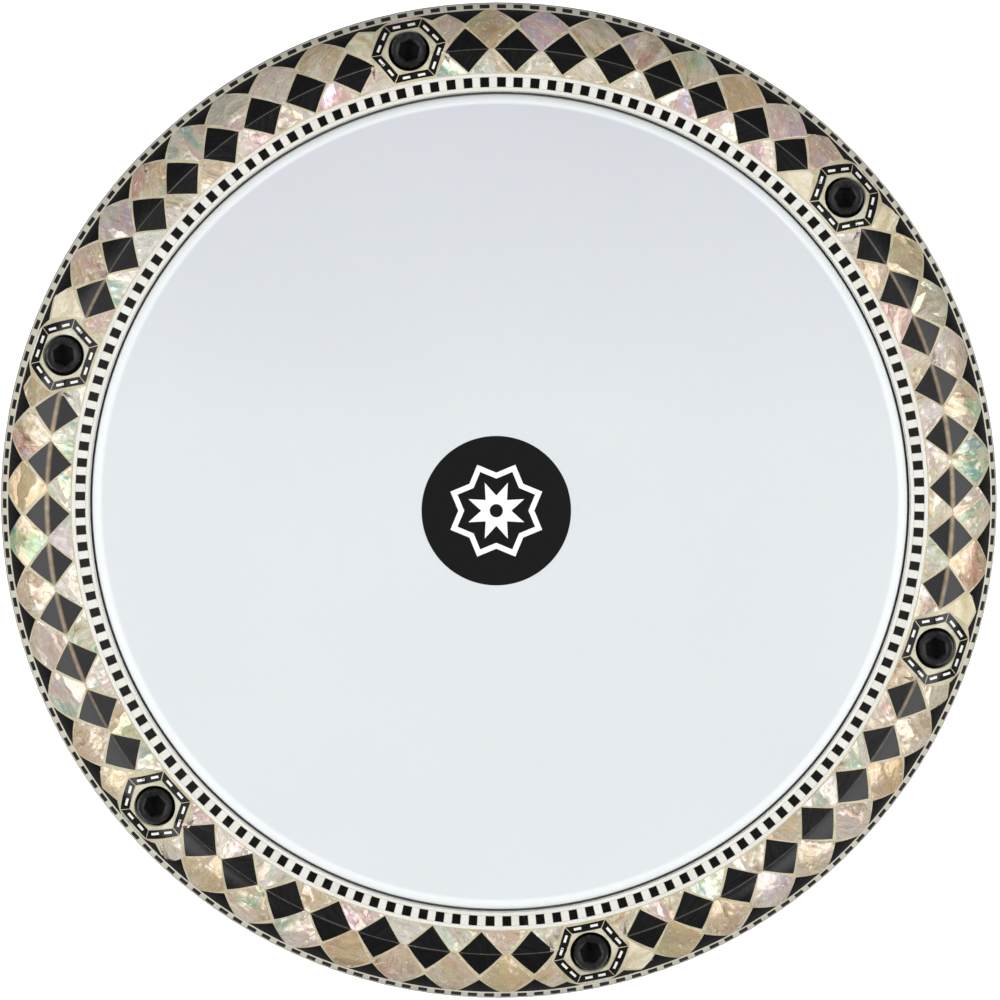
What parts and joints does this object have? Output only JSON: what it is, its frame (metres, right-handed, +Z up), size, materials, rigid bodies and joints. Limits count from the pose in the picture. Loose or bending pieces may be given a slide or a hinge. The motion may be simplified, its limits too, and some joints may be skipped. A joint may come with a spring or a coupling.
{
  "type": "darbuka",
  "caption": "Goblet hand drum in cast aluminium with a film head under a screw-tensioned counter rim, inlaid with pearl and black tiles.",
  "frame": {"origin": "centre of the foot's underside", "axes": "+Z up along the drum's axis, from the foot to the head; a tuning screw on +X"},
  "size_m": [0.2712, 0.2712, 0.445],
  "materials": {
    "cast_aluminium": "sand cast, turned and polished at the edges",
    "hoop_aluminium": "mill finish",
    "insert_steel": "zinc plated",
    "black_steel": "black oxide",
    "drum_film": "smooth satin-gloss polyester film",
    "pearl": "polished mother of pearl under clear lacquer",
    "black_inlay": "polished black tile under clear lacquer",
    "cream_inlay": "polished cream strip under clear lacquer",
    "resin": "cream casting resin",
    "print_ink": "screen-printed ink"
  },
  "bodies": {
    "shell": {"bowl_shell": "cast_aluminium", "foot_shell": "cast_aluminium", "thread_inserts": "insert_steel", "head_film": "drum_film", "bowl_inlay": "pearl", "neck_inlay": "cream_inlay", "foot_inlay": "pearl", "flange_stringing": "cream_inlay"},
    "rim": {"counter_rim": "cast_aluminium", "flesh_hoop": "hoop_aluminium", "hoop_resin": "resin", "screw_washers": "insert_steel", "rim_resin": "resin", "rim_black_tiles": "black_inlay", "rim_pearl_tiles": "pearl", "rim_checker_ring": "cream_inlay", "rim_edge_stringing": "cream_inlay", "rosette_strips": "black_inlay", "rosette_fields": "cream_inlay"},
    "screw_1": {"tuning_screw_1": "black_steel"},
    "screw_2": {"tuning_screw_2": "black_steel"},
    "screw_3": {"tuning_screw_3": "black_steel"},
    "screw_4": {"tuning_screw_4": "black_steel"},
    "screw_5": {"tuning_screw_5": "black_steel"},
    "screw_6": {"tuning_screw_6": "black_steel"}
  },
  "joints": [
    {"name": "rim_tension", "type": "slide", "parent": "shell", "child": "rim", "axis": [0, 0, 1], "range_m": [-0.001, 0.002]},
    {"name": "screw_1_turn", "type": "hinge", "parent": "rim", "child": "screw_1", "pos_m": [0.125, 0, 0.44], "axis": [0, 0, 1], "range_deg": [-361, 721]},
    {"name": "screw_2_turn", "type": "hinge", "parent": "rim", "child": "screw_2", "pos_m": [0.0625, 0.10825, 0.44], "axis": [0, 0, 1], "range_deg": [-361, 721]},
    {"name": "screw_3_turn", "type": "hinge", "parent": "rim", "child": "screw_3", "pos_m": [-0.0625, 0.10825, 0.44], "axis": [0, 0, 1], "range_deg": [-361, 721]},
    {"name": "screw_4_turn", "type": "hinge", "parent": "rim", "child": "screw_4", "pos_m": [-0.125, 0, 0.44], "axis": [0, 0, 1], "range_deg": [-361, 721]},
    {"name": "screw_5_turn", "type": "hinge", "parent": "rim", "child": "screw_5", "pos_m": [-0.0625, -0.10825, 0.44], "axis": [0, 0, 1], "range_deg": [-361, 721]},
    {"name": "screw_6_turn", "type": "hinge", "parent": "rim", "child": "screw_6", "pos_m": [0.0625, -0.10825, 0.44], "axis": [0, 0, 1], "range_deg": [-361, 721]}
  ],
  "couplings": [
    {"joint": "screw_1_turn", "follows": "rim_tension", "rad_per_m": 6283.2},
    {"joint": "screw_2_turn", "follows": "rim_tension", "rad_per_m": 6283.2},
    {"joint": "screw_3_turn", "follows": "rim_tension", "rad_per_m": 6283.2},
    {"joint": "screw_4_turn", "follows": "rim_tension", "rad_per_m": 6283.2},
    {"joint": "screw_5_turn", "follows": "rim_tension", "rad_per_m": 6283.2},
    {"joint": "screw_6_turn", "follows": "rim_tension", "rad_per_m": 6283.2}
  ]
}
